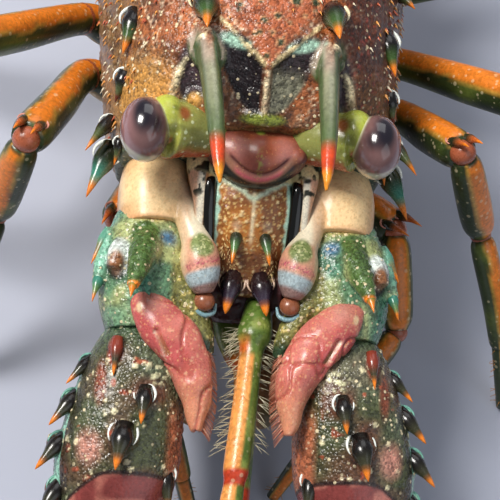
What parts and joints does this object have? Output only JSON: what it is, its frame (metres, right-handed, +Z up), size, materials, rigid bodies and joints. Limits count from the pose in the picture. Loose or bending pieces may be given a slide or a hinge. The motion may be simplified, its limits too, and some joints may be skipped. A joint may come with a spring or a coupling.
{
  "type": "spiny lobster, life-size still model",
  "caption": "Life-size spiny lobster standing on its walking legs, with horned spiny shell, two long whip feelers and a fanned tail.",
  "frame": {"origin": "on the floor, under the middle of the whole animal's box", "axes": "+Z up, the head faces -Y, the animal's left side is towards +X"},
  "size_m": [0.317, 0.3592, 0.1084],
  "materials": {
    "shell": "hard granular shell, satin, red-brown with dark purple and cream",
    "tail_plate": "thin shell plate with fine ribs, satin",
    "soft_skin": "soft pink skin, moist and satin",
    "eye_stalk": "smooth yellow-green shell with white dots",
    "cornea": "glossy mauve brown cornea",
    "feeler_shell": "granular olive and orange shell, satin",
    "whip": "fine-ringed red-brown whip, satin",
    "small_feeler": "smooth green shell with an orange stripe",
    "leg": "dark olive shell with an orange stripe, half gloss"
  },
  "bodies": {
    "root": {"carapace": "shell", "sternum": "shell", "head_plate": "shell", "abdomen_1": "shell", "abdomen_2": "shell", "abdomen_3": "shell", "abdomen_4": "shell", "abdomen_5": "shell", "abdomen_6": "shell", "telson": "tail_plate", "tail_inner_left": "tail_plate", "tail_inner_right": "tail_plate", "tail_outer_left": "tail_plate", "tail_outer_right": "tail_plate", "eye_bridge": "soft_skin", "feeler_left_pad": "soft_skin", "feeler_right_pad": "soft_skin", "eyestalk_left": "eye_stalk", "eyestalk_right": "eye_stalk", "eye_left": "cornea", "eye_right": "cornea", "feeler_left_base": "feeler_shell", "feeler_left_ischium": "feeler_shell", "feeler_left_merus": "feeler_shell", "feeler_left_carpus": "feeler_shell", "feeler_right_base": "feeler_shell", "feeler_right_ischium": "feeler_shell", "feeler_right_merus": "feeler_shell", "feeler_right_carpus": "feeler_shell", "feeler_left_whip_inner": "whip", "feeler_left_whip_outer": "whip", "feeler_right_whip_inner": "whip", "feeler_right_whip_outer": "whip", "small_whips_left": "whip", "small_whips_right": "whip", "small_feeler_left": "small_feeler", "small_feeler_right": "small_feeler", "mouth_leg_left": "leg", "mouth_leg_right": "leg", "leg_left_1_upper": "leg", "leg_left_1_lower": "leg", "leg_left_2_upper": "leg", "leg_left_2_lower": "leg", "leg_left_3_upper": "leg", "leg_left_3_lower": "leg", "leg_left_4_upper": "leg", "leg_left_4_lower": "leg", "leg_left_5_upper": "leg", "leg_left_5_lower": "leg", "leg_right_1_upper": "leg", "leg_right_1_lower": "leg", "leg_right_2_upper": "leg", "leg_right_2_lower": "leg", "leg_right_3_upper": "leg", "leg_right_3_lower": "leg", "leg_right_4_upper": "leg", "leg_right_4_lower": "leg", "leg_right_5_upper": "leg", "leg_right_5_lower": "leg"}
  },
  "joints": []
}
